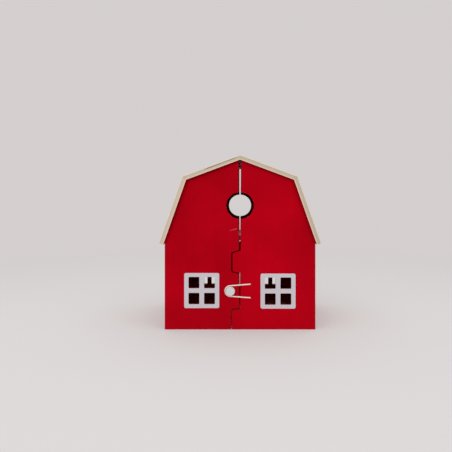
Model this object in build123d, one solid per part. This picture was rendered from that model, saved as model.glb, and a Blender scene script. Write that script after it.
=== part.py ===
from build123d import *
import math
import os

# Wooden toy barn with a gambrel roof. It is cut down its middle into a left and a right half,
# which open like a book about two hinges on the rear wall. A cord loop on the right half
# hooks over a peg on the left half and holds the front shut.
# Millimetres. X runs across the front, Y from the front to the rear, Z up.
# The origin is at the centre of the bounding box, on the surface that the barn stands on.

# ---------------------------------------------------------------- driving dimensions
PLY = 9.0                 # walls and floors
ROOF_PLY = 9.5            # roof boards
HALF_W = 150.0            # half the width over the side walls
DEPTH = 260.0             # outside to outside of the end walls
EAVE_Z = 175.0            # where the vertical wall meets the roof slope
BREAK_X, BREAK_Z = 106.7, 297.6   # where the steep slope meets the shallow one
APEX_Z = 337.4            # wall apex, under the ridge
EAVE_RUN = 6.0            # the steep board runs on past the eave by this much
ROOF_FRONT = 7.5          # roof boards stand out past the front wall
ROOF_REAR = 2.0           # and past the rear wall
RIDGE_GAP = 0.03          # each side of the middle plane

PEG_PROUD = 8.0           # peg head, out from the front wall
BARREL_R = 3.0            # hinge barrel
TOTAL_Y = PEG_PROUD + DEPTH + 2 * BARREL_R
YF = -TOTAL_Y / 2 + PEG_PROUD     # front face of the front wall
YB = YF + DEPTH                   # rear face of the rear wall
AXIS_Y = YB + BARREL_R            # hinge axis, at x = 0

# seam: the gap is narrow at the foot and wider at the ridge (x at z = 0, x at the apex)
SEAM_FRONT_L, SEAM_FRONT_R = (-1.2, -3.1), (0.1, 2.7)
SEAM_REAR_L, SEAM_REAR_R = (-0.9, -1.7), (-0.8, 2.0)

# tabs of the right front wall, and the notches of the left one that take them
TAB1_TIP_X, TAB1_TOP, TAB1_BOTTOM = -15.1, (151.8, 156.4), (115.3, 112.0)   # z at tip, z at root
TAB2_TIP_X, TAB2_TOP = -16.4, (38.5, 40.6)
NOTCH1_X, NOTCH1_TOP, NOTCH1_BOTTOM = -17.7, (153.4, 157.9), (113.8, 110.5)
NOTCH2_X, NOTCH2_TOP = -17.7, (40.3, 42.4)
TAB_R, ROOT_R = 3.0, 2.0

CIRCLE_R, CIRCLE_Z = 26.5, 246.5
CIRCLE_OFF = 1.0          # each half of the round window has moved out by this much

WIN_L, WIN_R = (-76.2, 77.6), (75.5, 76.5)    # window centres (x, z)
WIN_SIZE, WIN_THICK, WIN_CORNER = 69.6, 2.0, 3.5
PANES_FRONT, PANES_REAR, PANE_R = (21.5, 22.6), (20.5, 21.2), 1.8
STEP_X, STEP_Z = 15.5, 15.85      # a pane's centre from its window's centre
WALL_RIM = 0.6            # the holes through the wall are larger than the frame's panes by this

FLOOR_Z = PLY             # top of the ground floor
LOFT_Z = 177.0            # underside of the loft floor
FLOOR_GAP = 0.03          # floors stop this far from the middle plane
TAB_RELIEF = 0.6          # the left ground floor stays clear of the lower tab

PEG_X, PEG_Z, PEG_R = -19.3, 76.8, 8.9
TENON_R = 5.0
CORD_R = 1.25
CORD_OFF = CORD_R + 0.35  # cord centre, out from the front wall
LOOP_R = PEG_R + 0.3 + CORD_R     # cord centre about the peg
HOLE_X, HOLE_TOP_Z, HOLE_LOW_Z, HOLE_R = 20.1, 90.4, 63.4, 1.35
KNOT_R = 3.4

LEAF_H, LEAF_W, LEAF_T = 38.0, 15.0, 1.2
HINGE_Z = (117.0, 5.0)    # lower end of the upper and of the lower hinge
KNUCKLES, KNUCKLE_GAP = 5, 0.2
PIN_R, PIN_RUN, PIN_CAP = 1.4, 0.07, 1.2
LEAF_CLEAR = 0.35         # leaf to the other leaf's knuckles
SCREW_HEAD_R, SCREW_R, SCREW_LONG = 2.6, 1.2, 7.6
SCREW_X = 9.4
SCREW_DZ = 12.0

DOWEL_R, DOWEL_LONG, DOWEL_IN_WALL = 2.5, 24.0, 5.0
EDGE = 0.5                # small rounding on the edges that show
EDGE_IN = 0.4             # the same inside, and where two boards meet in line
ROOF_EDGE = 0.8           # rounding along the roof's eaves
RIDGE_R = (3.0, 1.2)      # rounding of the left and of the right board's top edge at the ridge
RIDGE_IN_R = 1.1          # and of their lower edges there

# ---------------------------------------------------------------- derived geometry
SLOPE = math.atan2(HALF_W - BREAK_X, BREAK_Z - EAVE_Z)     # steep board, from the vertical
PITCH = math.atan2(APEX_Z - BREAK_Z, BREAK_X)              # shallow board, from the level
N_LOW = (math.cos(SLOPE), math.sin(SLOPE))
N_UP = (math.sin(PITCH), math.cos(PITCH))
IN_Y0, IN_Y1 = YF + PLY, YB - PLY                          # between the end walls


def seam(pair, z):
    return pair[0] + (pair[1] - pair[0]) * z / APEX_Z


def roof_line(x):
    # underside of the shallow board, which is the wall's top edge
    return APEX_Z - abs(x) * math.tan(PITCH)


def slope_x(z):
    # underside of the steep board
    return HALF_W - (z - EAVE_Z) * math.tan(SLOPE)


def face_of(points):
    return make_face(Polyline(*points, close=True))


def slab(face, y0, y1):
    # a face drawn in (x, z) becomes a board from y0 to y1
    return Pos(0, y1, 0) * (Rot(90, 0, 0) * extrude(face, y1 - y0))


def round_at(face, spots, r):
    picked = [
        v for v in face.vertices()
        if any(abs(v.X - x) < 0.02 and abs(v.Y - z) < 0.02 for x, z in spots)
    ]
    return fillet(picked, r)


def mirror_x(shape):
    return mirror(shape, about=Plane.YZ)


def soften(solid, y, r=EDGE):
    # rounds the arris all round the face that lies at y
    edges = [
        e for e in solid.edges()
        if abs(e.bounding_box().min.Y - y) < 1e-4 and abs(e.bounding_box().max.Y - y) < 1e-4
    ]
    try:
        return fillet(edges, r)
    except Exception:
        return solid


def soften_inside(wall, y, r):
    # rounds a wall's inner edges at its windows and along the seam, which show from inside
    edges = [
        e for e in wall.edges()
        if abs(e.bounding_box().min.Y - y) < 1e-4 and abs(e.bounding_box().max.Y - y) < 1e-4
        and abs(e.center().X) < HALF_W - 30 and 12 < e.center().Z < APEX_Z - 60
        and e.bounding_box().min.Z > -0.1 and e.bounding_box().max.Z < APEX_Z
    ]
    return fillet(edges, r)


def box_at(x0, x1, y0, y1, z0, z1):
    return Pos((x0 + x1) / 2, (y0 + y1) / 2, (z0 + z1) / 2) * Box(x1 - x0, y1 - y0, z1 - z0)


def rod_y(x, z, r, y0, y1):
    return Pos(x, (y0 + y1) / 2, z) * (Rot(90, 0, 0) * Cylinder(r, y1 - y0))


def rod_z(x, y, r, z0, z1):
    return Pos(x, y, (z0 + z1) / 2) * Cylinder(r, z1 - z0)


# ---------------------------------------------------------------- end walls
def top_corner(x):
    return (x, roof_line(x))


def left_outline(pair, notched):
    pts = [(-HALF_W, 0)]
    if notched:
        pts += [(NOTCH2_X, 0), (NOTCH2_X, NOTCH2_TOP[0]), (seam(pair, NOTCH2_TOP[1]), NOTCH2_TOP[1]),
                (seam(pair, NOTCH1_BOTTOM[1]), NOTCH1_BOTTOM[1]), (NOTCH1_X, NOTCH1_BOTTOM[0]),
                (NOTCH1_X, NOTCH1_TOP[0]), (seam(pair, NOTCH1_TOP[1]), NOTCH1_TOP[1])]
    else:
        pts += [(pair[0], 0)]
    pts += [top_corner(pair[1]), (-BREAK_X, BREAK_Z), (-HALF_W, EAVE_Z)]
    face = face_of(pts)
    if notched:
        face = round_at(face, [pts[2], pts[5], pts[6]], TAB_R)
        face = round_at(face, [pts[3], pts[4], pts[7]], ROOT_R)
    return face


def right_outline(pair, tabbed):
    pts = [(HALF_W, 0), (HALF_W, EAVE_Z), (BREAK_X, BREAK_Z), top_corner(pair[1])]
    if tabbed:
        pts += [(seam(pair, TAB1_TOP[1]), TAB1_TOP[1]), (TAB1_TIP_X, TAB1_TOP[0]),
                (TAB1_TIP_X, TAB1_BOTTOM[0]), (seam(pair, TAB1_BOTTOM[1]), TAB1_BOTTOM[1]),
                (seam(pair, TAB2_TOP[1]), TAB2_TOP[1]), (TAB2_TIP_X, TAB2_TOP[0]), (TAB2_TIP_X, 0)]
    else:
        pts += [(pair[0], 0)]
    face = face_of(pts)
    if tabbed:
        face = round_at(face, [pts[5], pts[6], pts[9]], TAB_R)
        face = round_at(face, [pts[4], pts[7], pts[8]], ROOT_R)
    return face


def with_panes(face, window, panes, rim):
    for sx in (-1, 1):
        for sz in (-1, 1):
            face -= (Pos(window[0] + sx * STEP_X, window[1] + sz * STEP_Z)
                     * RectangleRounded(panes[0] + rim, panes[1] + rim, PANE_R))
    return face


def opened(face, window, panes, side):
    face = with_panes(face, window, panes, WALL_RIM)
    return face - Pos(side * CIRCLE_OFF, CIRCLE_Z) * Circle(CIRCLE_R)


front_wall_left = slab(opened(left_outline(SEAM_FRONT_L, True), WIN_L, PANES_FRONT, -1), YF, YF + PLY)
front_wall_right = slab(opened(right_outline(SEAM_FRONT_R, True), WIN_R, PANES_FRONT, 1), YF, YF + PLY)
back_wall_left = slab(opened(left_outline(SEAM_REAR_L, False), WIN_L, PANES_REAR, -1), YB - PLY, YB)
back_wall_right = slab(opened(right_outline(SEAM_REAR_R, False), WIN_R, PANES_REAR, 1), YB - PLY, YB)
front_wall_left = soften_inside(soften(front_wall_left, YF), YF + PLY, EDGE_IN)
front_wall_right = soften_inside(soften(front_wall_right, YF), YF + PLY, EDGE_IN)
back_wall_left = soften_inside(soften(back_wall_left, YB), YB - PLY, EDGE_IN)
back_wall_right = soften_inside(soften(back_wall_right, YB), YB - PLY, EDGE_IN)

# ---------------------------------------------------------------- side walls and floors
side_face = face_of([(HALF_W - PLY, 0), (HALF_W, 0), (HALF_W, EAVE_Z),
                     (slope_x(LOFT_Z), LOFT_Z), (HALF_W - PLY, LOFT_Z)])
side_wall_right = slab(side_face, IN_Y0, IN_Y1)
# the outer upright edges are eased, so a fine groove marks the joint with each end wall
upright = [e for e in side_wall_right.edges().filter_by(Axis.Z) if abs(e.center().X - HALF_W) < 1e-3]
side_wall_right = fillet(upright, EDGE_IN)
side_wall_left = mirror_x(side_wall_right)

LOFT_EDGE = slope_x(LOFT_Z + PLY) - 0.1


def eased_at_seam(board):
    # the two long edges at the middle of the barn, which show when it is open
    picked = [e for e in board.edges().filter_by(Axis.Y) if abs(e.center().X - FLOOR_GAP) < 1e-3]
    return fillet(picked, EDGE)


ground_floor_right = eased_at_seam(box_at(FLOOR_GAP, HALF_W - PLY, IN_Y0, IN_Y1, 0, FLOOR_Z))
ground_floor_left = mirror_x(ground_floor_right)
ground_floor_left -= box_at(NOTCH2_X - 1, 1, IN_Y0 - 1, IN_Y0 + TAB_RELIEF, -1, FLOOR_Z + 1)
loft_floor_right = eased_at_seam(box_at(FLOOR_GAP, LOFT_EDGE, IN_Y0, IN_Y1, LOFT_Z, LOFT_Z + PLY))
loft_floor_left = mirror_x(loft_floor_right)

# ---------------------------------------------------------------- roof boards
mid = (N_LOW[0] + N_UP[0], N_LOW[1] + N_UP[1])
mid_len = math.hypot(*mid)
mid = (mid[0] / mid_len, mid[1] / mid_len)
mitre = ROOF_PLY / (mid[0] * N_LOW[0] + mid[1] * N_LOW[1])
MITRE_P = (BREAK_X + mid[0] * mitre, BREAK_Z + mid[1] * mitre)
EAVE_IN = (HALF_W + math.sin(SLOPE) * EAVE_RUN, EAVE_Z - math.cos(SLOPE) * EAVE_RUN)
EAVE_OUT = (EAVE_IN[0] + ROOF_PLY * N_LOW[0], EAVE_IN[1] + ROOF_PLY * N_LOW[1])
RIDGE_T = ROOF_PLY / math.cos(PITCH)

RY0, RY1 = YF - ROOF_FRONT, YB + ROOF_REAR
RIDGE_TOP = (RIDGE_GAP, roof_line(RIDGE_GAP) + RIDGE_T)
lower_face = face_of([EAVE_IN, EAVE_OUT, MITRE_P, (BREAK_X, BREAK_Z)])
lower_face = round_at(round_at(lower_face, [EAVE_IN, EAVE_OUT], ROOF_EDGE), [MITRE_P], EDGE_IN)
RIDGE_IN = (RIDGE_GAP, roof_line(RIDGE_GAP))


def upper_board(ridge_r):
    face = face_of([(BREAK_X, BREAK_Z), MITRE_P, RIDGE_TOP, RIDGE_IN])
    face = round_at(face, [RIDGE_TOP], ridge_r)
    face = round_at(face, [RIDGE_IN], RIDGE_IN_R)
    return soften(soften(slab(round_at(face, [MITRE_P], EDGE_IN), RY0, RY1), RY0), RY1)


roof_lower_right = slab(lower_face, RY0, RY1)
roof_lower_right = soften(soften(roof_lower_right, RY0), RY1)
roof_lower_left = mirror_x(roof_lower_right)
roof_upper_right = upper_board(RIDGE_R[1])
roof_upper_left = mirror_x(upper_board(RIDGE_R[0]))


# ---------------------------------------------------------------- window frames
def window_frame(centre, panes, y0, y1, show_y):
    face = Pos(centre[0], centre[1]) * RectangleRounded(WIN_SIZE, WIN_SIZE, WIN_CORNER)
    return soften(slab(with_panes(face, centre, panes, 0.0), y0, y1), show_y, 0.4)


window_frame_front_left = window_frame(WIN_L, PANES_FRONT, YF - WIN_THICK, YF, YF - WIN_THICK)
window_frame_front_right = window_frame(WIN_R, PANES_FRONT, YF - WIN_THICK, YF, YF - WIN_THICK)
window_frame_back_left = window_frame(WIN_L, PANES_REAR, YB, YB + WIN_THICK, YB + WIN_THICK)
window_frame_back_right = window_frame(WIN_R, PANES_REAR, YB, YB + WIN_THICK, YB + WIN_THICK)

# ---------------------------------------------------------------- closure: peg, loop and knots
peg_head = soften(rod_y(PEG_X, PEG_Z, PEG_R, YF - PEG_PROUD, YF), YF - PEG_PROUD, 1.2)
closure_peg = peg_head + rod_y(PEG_X, PEG_Z, TENON_R, YF, YF + PLY)
front_wall_left -= rod_y(PEG_X, PEG_Z, TENON_R, YF - 1, YF + PLY + 1)

CORD_Y = YF - CORD_OFF


def tangent_point(px, pz, side):
    # where a strand from the hole at (px, pz) touches the loop's arc about the peg
    d = math.hypot(px - PEG_X, pz - PEG_Z)
    a = math.atan2(pz - PEG_Z, px - PEG_X) + side * math.acos(LOOP_R / d)
    return (PEG_X + LOOP_R * math.cos(a), PEG_Z + LOOP_R * math.sin(a))


t_top = tangent_point(HOLE_X, HOLE_TOP_Z, 1)
t_low = tangent_point(HOLE_X, HOLE_LOW_Z, -1)
p_top, p_low = (HOLE_X, CORD_Y, HOLE_TOP_Z), (HOLE_X, CORD_Y, HOLE_LOW_Z)
run_top = Line(p_top, (t_top[0], CORD_Y, t_top[1]))
bend = ThreePointArc((t_top[0], CORD_Y, t_top[1]), (PEG_X - LOOP_R, CORD_Y, PEG_Z), (t_low[0], CORD_Y, t_low[1]))
run_low = Line((t_low[0], CORD_Y, t_low[1]), p_low)
route = Wire([run_top, bend, run_low])
section = Plane(origin=p_top, z_dir=run_top % 0) * Circle(CORD_R)
closure_cord = sweep(section, path=route)
tube_volume = closure_cord.volume
closure_cord = closure_cord + Pos(*p_top) * Sphere(CORD_R) + Pos(*p_low) * Sphere(CORD_R)
print("cord arc radius %.2f, length %.2f, tube volume %.2f, section times length %.2f"
      % (LOOP_R, route.length, tube_volume, math.pi * CORD_R ** 2 * route.length))

knots = []
for z in (HOLE_TOP_Z, HOLE_LOW_Z):
    front_wall_right -= rod_y(HOLE_X, z, HOLE_R, YF - 1, YF + PLY + 1)
    stub = rod_y(HOLE_X, z, CORD_R, YF, YF + PLY + 1.0)
    knot = Pos(HOLE_X, YF + PLY + KNOT_R * 0.8, z) * Sphere(KNOT_R)
    knot -= box_at(HOLE_X - 9, HOLE_X + 9, YF - 2, YF + PLY, z - 9, z + 9)
    tail = Pos(HOLE_X, YF + PLY + KNOT_R * 0.8, z) * (Rot(-60, 0, 0) * (Pos(0, 0, 4.5) * Cylinder(CORD_R, 9.0)))
    knots.append(stub + knot + tail)
cord_end_knots = Compound(children=knots)


# ---------------------------------------------------------------- hinges
def knuckle_spans(z0):
    long = (LEAF_H - (KNUCKLES - 1) * KNUCKLE_GAP) / KNUCKLES
    return [(z0 + i * (long + KNUCKLE_GAP), z0 + i * (long + KNUCKLE_GAP) + long) for i in range(KNUCKLES)]


def leaf(z0, side, own, bore):
    inner = BARREL_R + LEAF_CLEAR
    plate = Pos(side * (inner + LEAF_W) / 2, 0, z0 + LEAF_H / 2) * Box(LEAF_W - inner, LEAF_T, LEAF_H)
    corner = [e for e in plate.edges().filter_by(Axis.Y) if abs(abs(e.center().X) - LEAF_W) < 1e-3]
    plate = fillet(corner, 2.0)
    plate = Pos(0, YB + LEAF_T / 2, 0) * plate
    spans = knuckle_spans(z0)
    for i in own:
        a, b = spans[i]
        x0, x1 = sorted((0.0, side * (inner + 0.5)))
        plate += box_at(x0, x1, YB, YB + LEAF_T, a, b)
        plate += rod_z(0, AXIS_Y, BARREL_R, a, b)
    plate -= rod_z(0, AXIS_Y, bore, z0 - 1, z0 + LEAF_H + 1)
    for z in screw_heights(z0):
        cone = Rot(-90, 0, 0) * Cone(SCREW_R + 0.1, SCREW_HEAD_R + 0.1, LEAF_T)
        plate -= Pos(side * SCREW_X, YB + LEAF_T / 2, z) * cone
    return plate


def screw_heights(z0):
    return (z0 + LEAF_H / 2 - SCREW_DZ, z0 + LEAF_H / 2 + SCREW_DZ)


def screw(x, z):
    head = Pos(x, YB + LEAF_T / 2, z) * (Rot(-90, 0, 0) * Cone(SCREW_R, SCREW_HEAD_R, LEAF_T))
    shank = rod_y(x, z, SCREW_R, YB - SCREW_LONG + 1.6, YB)
    tip = Pos(x, YB - SCREW_LONG + 0.8, z) * (Rot(-90, 0, 0) * Cone(0.3, SCREW_R, 1.6))
    body = head + shank + tip
    for turn in (0, 90):
        slot = Pos(x, YB + LEAF_T, z) * (Rot(0, turn + 20, 0) * Box(3.0, 1.2, 0.6))
        body -= slot
    return body


def pin(z0):
    body = rod_z(0, AXIS_Y, PIN_R, z0, z0 + LEAF_H)
    for z, up in ((z0 + LEAF_H, 1), (z0, -1)):
        cap = rod_z(0, AXIS_Y, PIN_R + 0.8, min(z, z + up * PIN_CAP), max(z, z + up * PIN_CAP))
        far = [e for e in cap.edges().filter_by(GeomType.CIRCLE) if abs(e.center().Z - (z + up * PIN_CAP)) < 1e-3]
        body += fillet(far, 0.8)
    return body


OWN_L, OWN_R = (0, 2, 4), (1, 3)
hinge_leaf_upper_left = leaf(HINGE_Z[0], -1, OWN_L, PIN_R)
hinge_leaf_upper_right = leaf(HINGE_Z[0], 1, OWN_R, PIN_R + PIN_RUN)
hinge_leaf_lower_left = leaf(HINGE_Z[1], -1, OWN_L, PIN_R)
hinge_leaf_lower_right = leaf(HINGE_Z[1], 1, OWN_R, PIN_R + PIN_RUN)
hinge_pin_upper = pin(HINGE_Z[0])
hinge_pin_lower = pin(HINGE_Z[1])

screws = {}
for side, name in ((-1, "left"), (1, "right")):
    made = []
    for z0 in HINGE_Z:
        for z in screw_heights(z0):
            made.append(screw(side * SCREW_X, z))
            pilot = rod_y(side * SCREW_X, z, SCREW_R, YB - SCREW_LONG, YB + 1)
            if side < 0:
                back_wall_left -= pilot
            else:
                back_wall_right -= pilot
    screws[name] = Compound(children=made)

# ---------------------------------------------------------------- dowels inside the glued joints
DOWEL_SPOTS = (
    [(HALF_W - PLY / 2, z, "side") for z in (28.0, 90.0, 150.0)]
    + [(x, PLY / 2, "ground") for x in (60.0, 112.0)]
    + [(x, LOFT_Z + PLY / 2, "loft") for x in (45.0, 110.0)]
)
dowel_sets = {}
boards = {
    (1, "side"): "side_wall_right", (1, "ground"): "ground_floor_right", (1, "loft"): "loft_floor_right",
    (-1, "side"): "side_wall_left", (-1, "ground"): "ground_floor_left", (-1, "loft"): "loft_floor_left",
}
solids = {
    "front_wall_left": front_wall_left, "front_wall_right": front_wall_right,
    "back_wall_left": back_wall_left, "back_wall_right": back_wall_right,
    "side_wall_left": side_wall_left, "side_wall_right": side_wall_right,
    "ground_floor_left": ground_floor_left, "ground_floor_right": ground_floor_right,
    "loft_floor_left": loft_floor_left, "loft_floor_right": loft_floor_right,
}
for side, name in ((-1, "left"), (1, "right")):
    made = []
    for x, z, kind in DOWEL_SPOTS:
        for wall, y_in, way in (("front_wall_", IN_Y0, 1), ("back_wall_", IN_Y1, -1)):
            ya = y_in - way * DOWEL_IN_WALL
            yb = ya + way * DOWEL_LONG
            y0, y1 = min(ya, yb), max(ya, yb)
            made.append(rod_y(side * x, z, DOWEL_R, y0, y1))
            solids[wall + name] -= rod_y(side * x, z, DOWEL_R, y0, y1)
            board = boards[(side, kind)]
            solids[board] -= rod_y(side * x, z, DOWEL_R, y0, y1)
    dowel_sets[name] = Compound(children=made)

# ---------------------------------------------------------------- write one STEP per piece
nodes = dict(solids)
nodes.update({
    "roof_upper_left": roof_upper_left, "roof_upper_right": roof_upper_right,
    "roof_lower_left": roof_lower_left, "roof_lower_right": roof_lower_right,
    "window_frame_front_left": window_frame_front_left,
    "window_frame_front_right": window_frame_front_right,
    "window_frame_back_left": window_frame_back_left,
    "window_frame_back_right": window_frame_back_right,
    "closure_peg": closure_peg,
    "closure_cord": closure_cord,
    "cord_end_knots": cord_end_knots,
    "hinge_leaf_upper_left": hinge_leaf_upper_left,
    "hinge_leaf_upper_right": hinge_leaf_upper_right,
    "hinge_leaf_lower_left": hinge_leaf_lower_left,
    "hinge_leaf_lower_right": hinge_leaf_lower_right,
    "hinge_pin_upper": hinge_pin_upper,
    "hinge_pin_lower": hinge_pin_lower,
    "hinge_screws_left": screws["left"],
    "hinge_screws_right": screws["right"],
    "dowels_left": dowel_sets["left"],
    "dowels_right": dowel_sets["right"],
})

os.makedirs("parts", exist_ok=True)
for name, shape in nodes.items():
    export_step(shape, "parts/%s.step" % name)
print(len(nodes), "nodes; front face y %.2f, rear face y %.2f, hinge axis y %.2f" % (YF, YB, AXIS_Y))
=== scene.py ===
import bpy
import bmesh
import math
import numpy as np
from mathutils import Vector, Matrix


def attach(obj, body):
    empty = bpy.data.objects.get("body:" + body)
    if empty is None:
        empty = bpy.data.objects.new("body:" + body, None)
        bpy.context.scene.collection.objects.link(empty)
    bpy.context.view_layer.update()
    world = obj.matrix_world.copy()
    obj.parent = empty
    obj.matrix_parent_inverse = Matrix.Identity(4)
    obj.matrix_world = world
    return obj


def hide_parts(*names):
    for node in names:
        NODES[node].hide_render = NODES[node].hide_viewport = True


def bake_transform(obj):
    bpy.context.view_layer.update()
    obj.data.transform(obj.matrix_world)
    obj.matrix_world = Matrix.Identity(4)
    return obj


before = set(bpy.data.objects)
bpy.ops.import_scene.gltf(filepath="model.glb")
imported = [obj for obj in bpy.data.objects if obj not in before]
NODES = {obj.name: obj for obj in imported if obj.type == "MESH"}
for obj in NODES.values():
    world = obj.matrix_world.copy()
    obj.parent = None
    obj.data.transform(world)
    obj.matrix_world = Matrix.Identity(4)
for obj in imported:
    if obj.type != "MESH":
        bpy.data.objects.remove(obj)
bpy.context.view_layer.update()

# ------------------------------------------------------------------ sizes shared with the part, in metres
PLY, ROOF_PLY = 0.009, 0.0095
HALF_W, EAVE_Z = 0.150, 0.175
BREAK_X, BREAK_Z, APEX_Z = 0.1067, 0.2976, 0.3374
LOFT_Z = 0.177
WALL_FRONT, WALL_REAR = -0.129, 0.131
SLOPE = math.atan2(HALF_W - BREAK_X, BREAK_Z - EAVE_Z)
PITCH = math.atan2(APEX_Z - BREAK_Z, BREAK_X)
SIN_P, COS_P, SIN_S, COS_S = math.sin(PITCH), math.cos(PITCH), math.sin(SLOPE), math.cos(SLOPE)
CORD_R = 0.00125


# ------------------------------------------------------------------ node helpers
class Net:
    """A small builder for one procedural material."""

    def __init__(self, name, rough=0.5, spec=0.5, metal=0.0, tint=None):
        self.mat = bpy.data.materials.new(name)
        self.mat.use_nodes = True
        self.tree = self.mat.node_tree
        self.tree.nodes.clear()
        self.out = self.tree.nodes.new("ShaderNodeOutputMaterial")
        self.bsdf = self.tree.nodes.new("ShaderNodeBsdfPrincipled")
        self.tree.links.new(self.bsdf.outputs["BSDF"], self.out.inputs["Surface"])
        self.bsdf.inputs["Roughness"].default_value = rough
        self.bsdf.inputs["Metallic"].default_value = metal
        self.bsdf.inputs["Specular IOR Level"].default_value = spec
        if tint:
            self.bsdf.inputs["Specular Tint"].default_value = (*tint, 1)
        self.coord = self.tree.nodes.new("ShaderNodeTexCoord")
        self.pos = self.coord.outputs["Object"]
        self.normal = self.coord.outputs["Normal"]
        sep = self.new("ShaderNodeSeparateXYZ", Vector=self.pos)
        self.x, self.y, self.z = sep.outputs
        sep = self.new("ShaderNodeSeparateXYZ", Vector=self.normal)
        self.nx, self.ny, self.nz = sep.outputs

    def new(self, kind, **inputs):
        n = self.tree.nodes.new(kind)
        for k, v in inputs.items():
            self.plug(n, k.replace("_", " "), v)
        return n

    def plug(self, n, key, v):
        s = n.inputs[key]
        if isinstance(v, bpy.types.NodeSocket):
            self.tree.links.new(v, s)
        else:
            s.default_value = v

    def math(self, op, a, b=None, c=None, clamp=False):
        n = self.tree.nodes.new("ShaderNodeMath")
        n.operation = op
        n.use_clamp = clamp
        for i, v in enumerate((a, b, c)):
            if v is not None:
                self.plug(n, i, v)
        return n.outputs[0]

    def add(self, a, b):
        return self.math("ADD", a, b)

    def mul(self, a, b):
        return self.math("MULTIPLY", a, b)

    def lin(self, *terms):
        """Sum of factor*socket pairs, with a bare number as an offset."""
        total = None
        for t in terms:
            v = t if not isinstance(t, tuple) else self.mul(t[1], t[0])
            total = v if total is None else self.add(total, v)
        return total

    def step(self, v, low, high, out_low=0.0, out_high=1.0):
        n = self.tree.nodes.new("ShaderNodeMapRange")
        n.interpolation_type = "SMOOTHSTEP"
        for k, x in zip(("Value", "From Min", "From Max", "To Min", "To Max"), (v, low, high, out_low, out_high)):
            self.plug(n, k, x)
        return n.outputs[0]

    def band(self, v, centre, half, soft):
        """1 within half of centre, falling to 0 over soft."""
        d = self.math("ABSOLUTE", self.add(v, -centre))
        return self.step(d, half, half + soft, 1.0, 0.0)

    def vec(self, x, y, z):
        return self.new("ShaderNodeCombineXYZ", X=x, Y=y, Z=z).outputs[0]

    def noise(self, vector, scale=1.0, detail=3.0, rough=0.5, distortion=0.0):
        n = self.new("ShaderNodeTexNoise", Vector=vector, Scale=scale, Detail=detail,
                     Roughness=rough, Distortion=distortion)
        return n.outputs["Fac"]

    def voronoi(self, vector, scale=1.0, random=1.0):
        n = self.new("ShaderNodeTexVoronoi", Vector=vector, Scale=scale, Randomness=random)
        return n.outputs["Distance"]

    def ramp(self, fac, stops, mode="LINEAR"):
        n = self.tree.nodes.new("ShaderNodeValToRGB")
        n.color_ramp.interpolation = mode
        e = n.color_ramp.elements
        while len(e) < len(stops):
            e.new(0.5)
        for i, (p, c) in enumerate(stops):
            e[i].position = p
            e[i].color = (*c, 1)
        self.plug(n, "Fac", fac)
        return n.outputs["Color"]

    def mix(self, fac, a, b, mode="MIX"):
        n = self.tree.nodes.new("ShaderNodeMix")
        n.data_type = "RGBA"
        n.blend_type = mode
        self.plug(n, 0, fac)
        for i, v in ((6, a), (7, b)):
            if isinstance(v, tuple) and len(v) == 3:
                v = (*v, 1)
            self.plug(n, i, v)
        return n.outputs[2]

    def scale(self, color, factor):
        """Brightens or darkens a colour by a factor that varies over the surface."""
        return self.mix(1.0, color, self.vec(factor, factor, factor), "MULTIPLY")

    def bump(self, height, distance, strength=1.0):
        n = self.new("ShaderNodeBump", Height=height, Distance=distance, Strength=strength)
        self.plug(self.bsdf, "Normal", n.outputs[0])

    def color(self, socket):
        self.plug(self.bsdf, "Base Color", socket)

    def rough(self, socket):
        self.plug(self.bsdf, "Roughness", socket)


def give(name, mat):
    o = NODES[name]
    o.data.materials.clear()
    o.data.materials.append(mat)


def give_piece(o, mat):
    o.data.materials.clear()
    o.data.materials.append(mat)


# ------------------------------------------------------------------ materials
RED = (0.465, 0.0002, 0.0080)
RED_DEEP = (0.400, 0.0002, 0.0066)


def red_paint(name, wall, extra=None, rough=0.40, relief=0.5):
    """Satin red paint on plywood. wall is the thickness axis, x, y or z."""
    m = Net(name, rough=0.5, spec=0.3, tint=(1.0, 0.02, 0.05))
    across, thick, along, facing = {"y": (m.x, m.y, m.z, m.ny), "x": (m.y, m.x, m.z, m.nx), "z": (m.x, m.z, m.y, m.nz)}[wall]
    grain = m.noise(m.vec(m.mul(across, 420.0), m.mul(thick, 420.0), m.mul(along, 11.0)), 1.0, 4.0, 0.62, 0.5)
    fine = m.noise(m.vec(m.mul(across, 1500.0), m.mul(thick, 1500.0), m.mul(along, 60.0)), 1.0, 2.0, 0.5)
    streak = m.noise(m.vec(m.mul(across, 95.0), m.mul(thick, 95.0), m.mul(along, 5.0)), 1.0, 3.0, 0.6, 0.3)
    cloud = m.noise(m.pos, 9.0, 3.0, 0.55)
    coat = m.noise(m.pos, 70.0, 3.0, 0.6)
    tone = m.lin((0.13, grain), (0.12, streak), (0.07, cloud), (0.03, coat), (0.03, fine), 0.81)
    base = m.scale(m.mix(m.step(cloud, 0.35, 0.7), RED_DEEP, RED), tone)
    # the cut edges show the plies faintly through the paint
    edge = m.step(m.math("ABSOLUTE", facing), 0.5, 0.8, 1.0, 0.0)
    offset = m.add(thick, -WALL_FRONT) if wall == "y" else thick
    ply = m.math("SINE", m.mul(offset, 2 * math.pi / 0.0026))
    base = m.scale(base, m.lin(1.0, (-0.09, m.mul(edge, m.step(ply, 0.2, 0.9)))))
    if extra:
        base = extra(m, base)
    m.color(base)
    m.rough(m.lin(rough, (0.18 * rough / 0.40, coat), (0.06, grain)))
    height = m.lin((0.55, grain), (0.20, fine), (0.35, streak), (0.25, coat), (0.5, m.mul(edge, ply)))
    m.bump(height, 0.00020, relief)
    return m.mat


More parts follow.
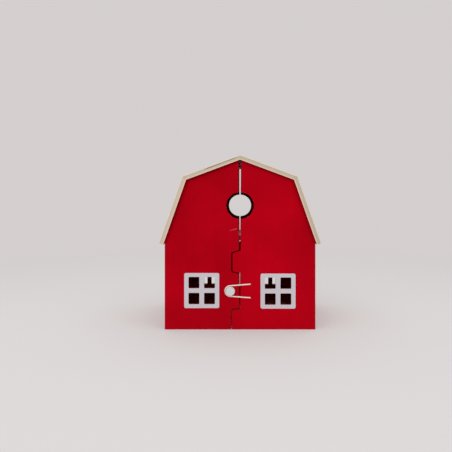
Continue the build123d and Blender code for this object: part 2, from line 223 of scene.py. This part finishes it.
def painted_shade_under_roof(m, base, share):
    """Painted shade: the paint is darkened within about 10 mm of the roof boards' underside, where the overhang shades
    the end wall.
    """
    x = m.math("ABSOLUTE", m.x)
    upper = m.math("SUBTRACT", APEX_Z * COS_P, m.lin((SIN_P, x), (COS_P, m.z)))
    lower = m.math("SUBTRACT", HALF_W * COS_S + EAVE_Z * SIN_S, m.lin((COS_S, x), (SIN_S, m.z)))
    d = m.math("MINIMUM", upper, m.math("MAXIMUM", lower, m.mul(m.add(m.mul(m.z, -1.0), EAVE_Z), 1.5)))
    roof_shade = m.math("POWER", m.step(d, 0.0, 0.010, 1.0, 0.0), 2.0)
    return m.scale(base, m.lin(1.0, (-share, roof_shade)))


def painted_shade_and_scuff(m, base):
    """Painted shade under the roof boards, painted shade that darkens the front towards the top, and a real light rub
    beside the seam under the round window.
    """
    # painted shade: darker under the roof boards and towards the top of the front
    base = m.scale(painted_shade_under_roof(m, base, 0.34), m.step(m.z, 0.02, 0.28, 1.01, 0.94))
    ax, az, bx, bz = -0.0214, 0.1968, -0.0052, 0.2004
    length = math.hypot(bx - ax, bz - az)
    ux, uz = (bx - ax) / length, (bz - az) / length
    wob = m.lin((0.0024, m.noise(m.pos, 160.0, 2.0)), -0.0012)
    along = m.lin((ux, m.x), (uz, m.z), -(ax * ux + az * uz))
    off = m.add(m.lin((-uz, m.x), (ux, m.z), ax * uz - az * ux), wob)
    line = m.mul(m.band(off, 0.0, 0.0003, 0.0009), m.band(along, length / 2, length / 2 - 0.003, 0.004))
    line = m.mul(line, m.step(along, 0.0, length * 0.7, 0.45, 1.0))
    worn = m.step(m.noise(m.pos, 420.0, 2.0), 0.30, 0.60)
    front = m.step(m.y, WALL_FRONT + 0.0004, WALL_FRONT + 0.0008, 1.0, 0.0)
    base = m.mix(m.mul(m.mul(line, front), m.lin(0.25, (0.35, worn))), base, (0.60, 0.16, 0.18))
    return base


def painted_seam_light_and_shade(m, base):
    """Painted light: the right half's front is a little brighter towards the seam and darker towards the top, with
    painted shade under the roof boards.
    """
    # painted light and shade: a brightness factor by position across the front
    tone = m.mul(m.step(m.x, 0.08, 0.15, 1.085, 0.96), m.step(m.z, 0.20, 0.31, 1.0, 0.955))
    return painted_shade_under_roof(m, m.scale(base, tone), 0.20)


def veneer(m, along, across, thick, light, dark, seed):
    """Rotary-cut birch: faint winding contour lines, fine fibres and short dark pores, all along one axis."""
    field = m.noise(m.vec(m.add(m.mul(across, 13.0), seed), m.mul(along, 3.4), seed), 1.0, 2.5, 0.42)
    phase = m.lin((78.0, field), (95.0, across), seed)
    wave = m.math("SINE", phase)
    late = m.math("POWER", m.step(wave, -0.9, 1.0), 2.2)
    weight = m.noise(m.vec(m.add(m.mul(across, 22.0), seed * 2.0), m.mul(along, 5.0), seed), 1.0, 2.0, 0.5)
    late = m.mul(late, m.step(weight, 0.25, 0.75, 0.25, 1.0))
    line = m.lin(across, (0.012, field))
    fibre = m.noise(m.vec(m.mul(line, 900.0), m.mul(along, 16.0), m.mul(thick, 900.0)), 1.0, 4.0, 0.68)
    silk = m.noise(m.vec(m.mul(line, 230.0), m.mul(along, 5.0), m.mul(thick, 230.0)), 1.0, 3.0, 0.62)
    pores = m.step(m.noise(m.vec(m.mul(line, 1500.0), m.mul(along, 95.0), m.mul(thick, 1500.0)), 1.0, 1.0), 0.62, 0.72)
    cloud = m.noise(m.vec(m.mul(across, 9.0), m.mul(along, 4.0), seed + 9.0), 1.0, 3.0, 0.55)
    share = m.lin((0.25, late), (0.62, fibre), (0.42, silk), (0.30, cloud), -0.46)
    base = m.mix(m.step(share, 0.0, 0.85), light, dark)
    base = m.mix(m.mul(pores, 0.34), base, tuple(c * 0.50 for c in dark))
    return base, fibre, pores


PLY_LIGHT = (0.815, 0.690, 0.530)
PLY_DARK = (0.600, 0.452, 0.300)
STRIPES = [
    (0.00, (0.800, 0.640, 0.500)), (0.17, (0.790, 0.640, 0.505)), (0.19, (0.50, 0.38, 0.28)), (0.21, (0.640, 0.550, 0.430)),
    (0.38, (0.620, 0.545, 0.425)), (0.40, (0.47, 0.38, 0.28)), (0.42, (0.650, 0.570, 0.450)), (0.58, (0.640, 0.565, 0.445)),
    (0.60, (0.42, 0.33, 0.24)), (0.62, (0.575, 0.500, 0.390)), (0.79, (0.615, 0.540, 0.425)), (0.81, (0.48, 0.38, 0.28)),
    (0.83, (0.740, 0.660, 0.545)), (1.00, (0.800, 0.715, 0.600)),
]


def plywood(name, depth, along, across, face, seed, mark=None, lining=False, board=PLY, tone=1.0):
    """Bare birch plywood. depth, along, across and face are functions of the Net: the distance through the board in metres,
    the grain's axis, the axis across it, and how squarely a point lies on a broad face."""
    m = Net(name, rough=0.55, spec=0.35)
    d, a, c = depth(m), along(m), across(m)
    surface, fibre, pores = veneer(m, a, c, d, PLY_LIGHT, PLY_DARK, seed)
    wob = m.lin((0.0006, m.noise(m.vec(m.mul(c, 60.0), m.mul(a, 60.0), seed), 1.0, 2.0)), -0.0003)
    share = m.mul(m.add(d, wob), 1.0 / board)
    stripes = m.ramp(share, STRIPES)
    end_grain = m.noise(m.vec(m.mul(c, 1400.0), m.mul(a, 1400.0), m.mul(d, 500.0)), 1.0, 3.0, 0.6)
    runs = m.noise(m.vec(m.mul(c, 45.0), m.mul(a, 45.0), m.mul(d, 900.0)), 1.0, 2.0, 0.5)
    core = m.band(share, 0.50, 0.22, 0.12)
    stripes = m.scale(stripes, m.lin(0.80, (0.14, end_grain), (0.26, runs), (tone - 1.0, core)))
    if mark:
        stripes = mark(m, stripes, d)
    broad = m.step(face(m), 0.80, 0.92)
    base = m.mix(broad, stripes, surface)
    if lining:
        # the face towards the inside is painted like the walls
        under = m.mul(broad, m.step(d, 0.0006, 0.0012, 1.0, 0.0))
        base = m.mix(under, base, m.scale(m.mix(fibre, RED_DEEP, RED), m.lin(0.90, (0.10, fibre))))
    m.color(base)
    m.rough(m.lin(0.46, (0.16, fibre), (0.10, m.math("SUBTRACT", 1.0, broad))))
    m.bump(m.lin((0.7, fibre), (-0.6, pores), (0.5, m.mul(m.math("SUBTRACT", 1.0, broad), end_grain))), 0.00012, 0.5)
    return m.mat


def absx(m):
    return m.math("ABSOLUTE", m.x)


def dot_normal(m, nx, nz):
    a = m.lin((nx, m.math("ABSOLUTE", m.nx)), (nz, m.math("ABSOLUTE", m.nz)))
    return m.math("ABSOLUTE", a)


def upper_mat(name, seed, mark=None, tone=1.0):
    return plywood(name,
                   lambda m: m.lin((SIN_P, absx(m)), (COS_P, m.z), -APEX_Z * COS_P),
                   lambda m: m.y,
                   lambda m: m.lin((COS_P, absx(m)), (-SIN_P, m.z)),
                   lambda m: dot_normal(m, SIN_P, COS_P), seed, mark, lining=True, board=ROOF_PLY, tone=tone)


def lower_mat(name, seed, tone=1.0):
    return plywood(name,
                   lambda m: m.lin((COS_S, absx(m)), (SIN_S, m.z), -(HALF_W * COS_S + EAVE_Z * SIN_S)),
                   lambda m: m.y,
                   lambda m: m.lin((SIN_S, absx(m)), (-COS_S, m.z)),
                   lambda m: dot_normal(m, COS_S, SIN_S), seed, lining=True, board=ROOF_PLY, tone=tone)


def floor_mat(name, z0, seed):
    return plywood(name, lambda m: m.add(m.z, -z0), lambda m: m.y, lambda m: m.x,
                   lambda m: m.math("ABSOLUTE", m.nz), seed)


def dark_ply_line(m, stripes, d):
    """A dark gap in one ply of the left upper board's front edge."""
    x = absx(m)
    front = m.step(m.ny, -0.9, -0.5, 1.0, 0.0)
    here = m.mul(front, m.math("MAXIMUM", m.band(x, 0.052, 0.012, 0.009), m.mul(m.band(x, 0.024, 0.011, 0.010), 0.70)))
    line = m.band(d, 0.0064, 0.00045, 0.0005)
    return m.mix(m.mul(m.mul(here, line), 0.88), stripes, (0.09, 0.08, 0.065))


def white_paint(name, base, rough=0.42):
    m = Net(name, rough=rough, spec=0.4)
    cloud = m.noise(m.pos, 30.0, 3.0, 0.55)
    coat = m.noise(m.pos, 380.0, 3.0, 0.6)
    brush = m.noise(m.vec(m.mul(m.x, 900.0), m.mul(m.y, 900.0), m.mul(m.z, 45.0)), 1.0, 3.0, 0.55)
    highlight_edges = m.math("MAXIMUM", m.math("ABSOLUTE", m.nx), m.math("ABSOLUTE", m.nz))
    tone = m.lin(0.955, (0.04, cloud), (0.03, coat), (0.02, brush))
    c = m.scale(m.mix(0.5, base, base), tone)
    # painted highlight: the side faces of the frames and the peg are tinted a lighter pink
    c = m.mix(m.mul(m.step(highlight_edges, 0.2, 0.8), 0.45), c, (0.84, 0.72, 0.75))
    m.color(c)
    m.rough(m.lin(rough - 0.05, (0.12, coat)))
    m.bump(m.lin((0.6, coat), (0.5, brush)), 0.00006, 0.5)
    return m.mat


def brass(name, base=(0.56, 0.39, 0.16)):
    m = Net(name, rough=0.34, spec=0.5, metal=1.0)
    draw = m.noise(m.vec(m.mul(m.x, 260.0), m.mul(m.y, 2600.0), m.mul(m.z, 2600.0)), 1.0, 3.0, 0.6)
    cloud = m.noise(m.pos, 130.0, 3.0, 0.6)
    spots = m.step(m.noise(m.pos, 420.0, 3.0, 0.6), 0.60, 0.72)
    c = m.mix(m.step(cloud, 0.35, 0.7), base, tuple(k * 0.78 for k in base))
    c = m.mix(m.mul(spots, 0.35), c, (0.24, 0.15, 0.07))
    m.color(c)
    m.rough(m.lin(0.24, (0.16, draw), (0.14, cloud)))
    m.bump(m.lin((0.6, draw), (0.3, cloud)), 0.00004, 0.4)
    return m.mat


def beech(name):
    m = Net(name, rough=0.6, spec=0.3)
    c, fibre, pores = veneer(m, m.y, m.x, m.z, (0.66, 0.47, 0.30), (0.52, 0.34, 0.20), 3.1)
    m.color(c)
    m.bump(m.lin((0.7, fibre), (-0.5, pores)), 0.0001, 0.4)
    return m.mat


def cord_cover(name):
    """Pale braided elastic: each strand is lit by its own height, fibres run along it."""
    m = Net(name, rough=0.8, spec=0.2)
    m.bsdf.inputs["Sheen Weight"].default_value = 0.35
    m.bsdf.inputs["Sheen Roughness"].default_value = 0.5
    fibre = m.noise(m.pos, 5200.0, 2.0, 0.6)
    cloud = m.noise(m.pos, 240.0, 2.0)
    tone = m.lin(0.88, (0.16, fibre), (0.06, cloud))
    m.color(m.scale(m.mix(m.step(cloud, 0.3, 0.7), (0.93, 0.80, 0.72), (0.98, 0.86, 0.80)), tone))
    m.bump(fibre, 0.00008, 0.5)
    return m.mat


# painted shade under the roof boards on both fronts, painted shade towards the top on the left, painted light towards
# the seam on the right
red_front_left = red_paint("red_front_left", "y", painted_shade_and_scuff)
red_front_right = red_paint("red_front_right", "y", painted_seam_light_and_shade)
# the end walls get painted shade under the roof boards
red_end = red_paint("red_end_walls", "y", lambda m, base: painted_shade_under_roof(m, base, 0.26))
red_side = red_paint("red_side_walls", "x")
red_loft = red_paint("red_loft_floors", "z", rough=0.22, relief=0.02)
give("front_wall_left", red_front_left)
give("front_wall_right", red_front_right)
for n in ("back_wall_left", "back_wall_right"):
    give(n, red_end)
for n in ("side_wall_left", "side_wall_right"):
    give(n, red_side)
give("roof_upper_left", upper_mat("birch_upper_left", 1.7, dark_ply_line, 0.92))
give("roof_upper_right", upper_mat("birch_upper_right", 5.2, None, 0.88))
give("roof_lower_left", lower_mat("birch_lower_left", 8.9))
give("roof_lower_right", lower_mat("birch_lower_right", 12.4, 0.86))
for side, seed in (("left", 2.2), ("right", 6.6)):
    give("ground_floor_" + side, floor_mat("birch_ground_" + side, 0.0, seed))
    give("loft_floor_" + side, red_loft)
frame_paint = white_paint("frame_paint", (0.600, 0.588, 0.640))
for n in ("front_left", "front_right", "back_left", "back_right"):
    give("window_frame_" + n, frame_paint)
give("closure_peg", white_paint("peg_paint", (0.650, 0.690, 0.700), 0.38))
hinge_metal, screw_metal = brass("hinge_brass"), brass("screw_brass", (0.62, 0.44, 0.20))
for h in ("upper", "lower"):
    give(f"hinge_leaf_{h}_left", hinge_metal)
    give(f"hinge_leaf_{h}_right", hinge_metal)
    give(f"hinge_pin_{h}", screw_metal)
for side in ("left", "right"):
    give("hinge_screws_" + side, screw_metal)
    give("dowels_" + side, beech("dowel_beech_" + side))
cord_mat = cord_cover("cord_cover")


# ------------------------------------------------------------------ the closure cord and its knots
def nurbs_points(name, points, resolution=32):
    """The points of a smooth NURBS curve through given control points, read from Blender."""
    data = bpy.data.curves.new(name, "CURVE")
    data.dimensions = "3D"
    s = data.splines.new("NURBS")
    s.points.add(len(points) - 1)
    for p, c in zip(s.points, points):
        p.co = (*c, 1.0)
    s.order_u = 3
    s.use_endpoint_u = True
    s.resolution_u = resolution
    data.resolution_u = resolution
    o = bpy.data.objects.new(name, data)
    mesh = bpy.data.meshes.new_from_object(o)
    line = np.array([v.co for v in mesh.vertices], float).reshape(-1, 3)
    bpy.data.meshes.remove(mesh)
    bpy.data.objects.remove(o)
    bpy.data.curves.remove(data)
    return line


def evenly(line, gap):
    along = np.concatenate([[0], np.cumsum(np.linalg.norm(np.diff(line, axis=0), axis=1))])
    at = np.linspace(0, along[-1], int(along[-1] / gap) + 2)
    return np.stack([np.interp(at, along, line[:, k]) for k in range(3)], axis=1), at


def braided_tube(name, line, radius, gap=0.00022, around=48, carriers=8, lay=0.0085, rise=0.00011, flat_end=True):
    """A round cord with a braided cover: two sets of strands that wind in opposite ways and pass over and under."""
    pts, at = evenly(line, gap)
    tan = np.gradient(pts, axis=0)
    tan /= np.linalg.norm(tan, axis=1)[:, None]
    side = np.cross(tan[0], (0.0, 0.0, 1.0))
    if np.linalg.norm(side) < 0.1:
        side = np.cross(tan[0], (1.0, 0.0, 0.0))
    side /= np.linalg.norm(side)
    verts, faces = [], []
    theta = np.arange(around) * 2 * math.pi / around
    total = at[-1]
    for i in range(len(pts)):
        side = side - tan[i] * float(side @ tan[i])
        side /= np.linalg.norm(side)
        up = np.cross(tan[i], side)
        u = theta / (2 * math.pi) * carriers + at[i] / lay * carriers
        v = theta / (2 * math.pi) * carriers - at[i] / lay * carriers
        fu, fv = u - np.floor(u), v - np.floor(v)
        over = (np.floor(u) + np.floor(v)) % 2 < 1
        top = np.where(over, np.sin(math.pi * fu), np.sin(math.pi * fv))
        r = radius - rise + rise * 2.0 * (top - 0.5)
        end = min(at[i], total - at[i])
        if flat_end and end < 0.0007:
            r = r * math.sqrt(max(0.05, 1 - (1 - end / 0.0007) ** 2 * 0.9))
        ring = pts[i] + (np.cos(theta) * r)[:, None] * side + (np.sin(theta) * r)[:, None] * up
        verts.extend(ring)
    for i in range(len(pts) - 1):
        a, b = i * around, (i + 1) * around
        for k in range(around):
            j = (k + 1) % around
            faces.append((a + k, a + j, b + j, b + k))
    first, last = len(verts), len(verts) + 1
    verts.extend([pts[0], pts[-1]])
    for k in range(around):
        j = (k + 1) % around
        faces.append((first, j, k))
        faces.append((last, (len(pts) - 1) * around + k, (len(pts) - 1) * around + j))
    mesh = bpy.data.meshes.new(name)
    mesh.from_pydata([tuple(v) for v in verts], [], faces)
    mesh.update()
    bm = bmesh.new()
    bm.from_mesh(mesh)
    bmesh.ops.recalc_face_normals(bm, faces=bm.faces)
    bm.to_mesh(mesh)
    bm.free()
    mesh.polygons.foreach_set("use_smooth", [True] * len(mesh.polygons))
    o = bpy.data.objects.new(name, mesh)
    bpy.context.scene.collection.objects.link(o)
    return o, pts


# Out of the upper hole, along to the peg, round it, and back into the lower hole.
CORD_ROUTE = [
    (0.020100, -0.117600, 0.090400), (0.020100, -0.122500, 0.090400), (0.020100, -0.127000, 0.090400),
    (0.020100, -0.130600, 0.090400), (0.016212, -0.130600, 0.090092),
    (-0.016915, -0.130600, 0.087471), (-0.023334, -0.130600, 0.086964), (-0.028354, -0.130600, 0.082931),
    (-0.030235, -0.130600, 0.076773), (-0.028324, -0.130600, 0.070624), (-0.023283, -0.130600, 0.066617),
    (-0.016862, -0.130600, 0.066141), (0.016211, -0.130600, 0.063688),
    (0.020100, -0.130600, 0.063400), (0.020100, -0.127000, 0.063400), (0.020100, -0.122500, 0.063400),
    (0.020100, -0.117600, 0.063400),
]
cord_line = nurbs_points("closure_route", CORD_ROUTE)
closure, cord_points = braided_tube("closure_loop_cord", cord_line, CORD_R, flat_end=False, lay=0.0072, rise=0.00009)
give_piece(closure, cord_mat)
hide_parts("closure_cord")
cord_length = float(np.linalg.norm(np.diff(cord_points, axis=0), axis=1).sum())
print("closure cord centreline %.1f mm" % (cord_length * 1000))


def overhand_knot(name, z, turn):
    """A tight overhand knot just inside the wall, with its short tail."""
    start = Vector((0.0201, -0.1190, z))
    t = np.linspace(0.42, 2 * math.pi - 0.42, 46)
    size = 0.00103
    wind = np.stack([(2 + np.cos(3 * t)) * np.cos(2 * t), (2 + np.cos(3 * t)) * np.sin(2 * t), 1.25 * np.sin(3 * t)], axis=1) * size
    # the knot's own axis lies along Y, and it is turned about that axis
    flat = np.stack([wind[:, 0], wind[:, 2], wind[:, 1]], axis=1)
    c, s = math.cos(turn), math.sin(turn)
    flat = np.stack([c * flat[:, 0] - s * flat[:, 2], flat[:, 1], s * flat[:, 0] + c * flat[:, 2]], axis=1)
    centre = np.array([0.0201, -0.1170, z])
    body = flat + centre
    lead = np.array([[0.0201, -0.1200, z], [0.0201, -0.1194, z]])
    way = body[-1] - body[-2]
    way /= np.linalg.norm(way)
    out = np.array([0.25 * way[0], 0.80, 0.25 * way[2] - 0.45])
    out /= np.linalg.norm(out)
    tail = np.array([body[-1] + way * 0.0010 + out * k for k in (0.0010, 0.0030, 0.0052, 0.0072)])
    control = [tuple(p) for p in np.concatenate([lead, body, tail])]
    line = nurbs_points(name + "_route", control, 6)
    o, _ = braided_tube(name, line, 0.00119, gap=0.00028, around=32, lay=0.0072, rise=0.00009)
    give_piece(o, cord_mat)
    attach(o, "right_half")
    return o


knot_top = overhand_knot("cord_knot_upper", 0.0904, 0.4)
knot_low = overhand_knot("cord_knot_lower", 0.0634, 2.1)
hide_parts("cord_end_knots")
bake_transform(closure)


# ------------------------------------------------------------------ floor, surround, light and camera
def stage_floor():
    """A wide disc that is plain near the object and melts into the surround."""
    bm = bmesh.new()
    rings = [0.0, 0.15, 0.3, 0.5, 0.8, 1.2, 1.8, 2.6, 4.0, 7.0, 14.0, 30.0, 60.0]
    around = 96
    previous = [bm.verts.new((0, 0, 0))]
    for r in rings[1:]:
        ring = [bm.verts.new((r * math.cos(2 * math.pi * k / around), r * math.sin(2 * math.pi * k / around), 0)) for k in range(around)]
        for k in range(around):
            j = (k + 1) % around
            if len(previous) == 1:
                bm.faces.new((previous[0], ring[k], ring[j]))
            else:
                bm.faces.new((previous[k], ring[k], ring[j], previous[j]))
        previous = ring
    mesh = bpy.data.meshes.new("studio_floor")
    bm.to_mesh(mesh)
    bm.free()
    o = bpy.data.objects.new("studio_floor", mesh)
    bpy.context.scene.collection.objects.link(o)
    o.location = (0, 0, -0.0002)
    m = Net("studio_floor", rough=0.9, spec=0.1)
    r = m.math("SQRT", m.add(m.mul(m.x, m.x), m.mul(m.y, m.y)))
    m.bsdf.inputs["Base Color"].default_value = (*FLOOR_ALBEDO, 1)
    glow = m.tree.nodes.new("ShaderNodeEmission")
    glow.inputs["Color"].default_value = (*SURROUND, 1)
    glow.inputs["Strength"].default_value = 1.0
    mixer = m.tree.nodes.new("ShaderNodeMixShader")
    m.tree.links.new(m.step(r, 0.30, 2.0, FLOOR_GLOW, 1.0), mixer.inputs[0])
    m.tree.links.new(m.bsdf.outputs[0], mixer.inputs[1])
    m.tree.links.new(glow.outputs[0], mixer.inputs[2])
    m.tree.links.new(mixer.outputs[0], m.out.inputs["Surface"])
    o.data.materials.append(m.mat)
    return o


SURROUND = (0.660, 0.628, 0.622)
FLOOR_ALBEDO = (0.76, 0.775, 0.78)
FLOOR_GLOW = 0.35
stage_floor()

world = bpy.data.worlds.new("studio")
bpy.context.scene.world = world
world.use_nodes = True
background = world.node_tree.nodes.get("Background") or world.node_tree.nodes.new("ShaderNodeBackground")
background.inputs["Color"].default_value = (*SURROUND, 1)
background.inputs["Strength"].default_value = 1.0


def softbox(name, place, aim, size, energy, color=(1.0, 0.985, 0.97)):
    light = bpy.data.lights.new(name, "AREA")
    light.shape = "RECTANGLE"
    light.size, light.size_y = size
    light.energy = energy
    light.color = color
    o = bpy.data.objects.new(name, light)
    o.location = place
    o.rotation_euler = (Vector(aim) - Vector(place)).to_track_quat("-Z", "Y").to_euler()
    bpy.context.scene.collection.objects.link(o)
    return o


softbox("key", (-0.9, -1.9, 1.1), (0, 0, 0.15), (1.5, 1.2), 10.2)
softbox("fill", (1.3, -1.6, 0.9), (0, 0, 0.15), (1.2, 1.2), 4.5)
softbox("top", (0.0, 0.1, 1.7), (0, 0, 0), (2.0, 2.0), 9.0)

cam_data = bpy.data.cameras.new("camera")
cam = bpy.data.objects.new("camera", cam_data)
bpy.context.scene.collection.objects.link(cam)
cam_data.sensor_width = 36.0
cam_data.lens = 40.34
cam_data.shift_x = -0.0311
cam_data.shift_y = -0.0480
cam_data.clip_start, cam_data.clip_end = 0.01, 200.0
cam.location = (0.0, -1.137, 0.2491)
cam.rotation_euler = (math.radians(90), 0, 0)
bpy.context.scene.camera = cam
bpy.context.scene.view_settings.view_transform = "Standard"
bpy.context.scene.view_settings.look = "None"
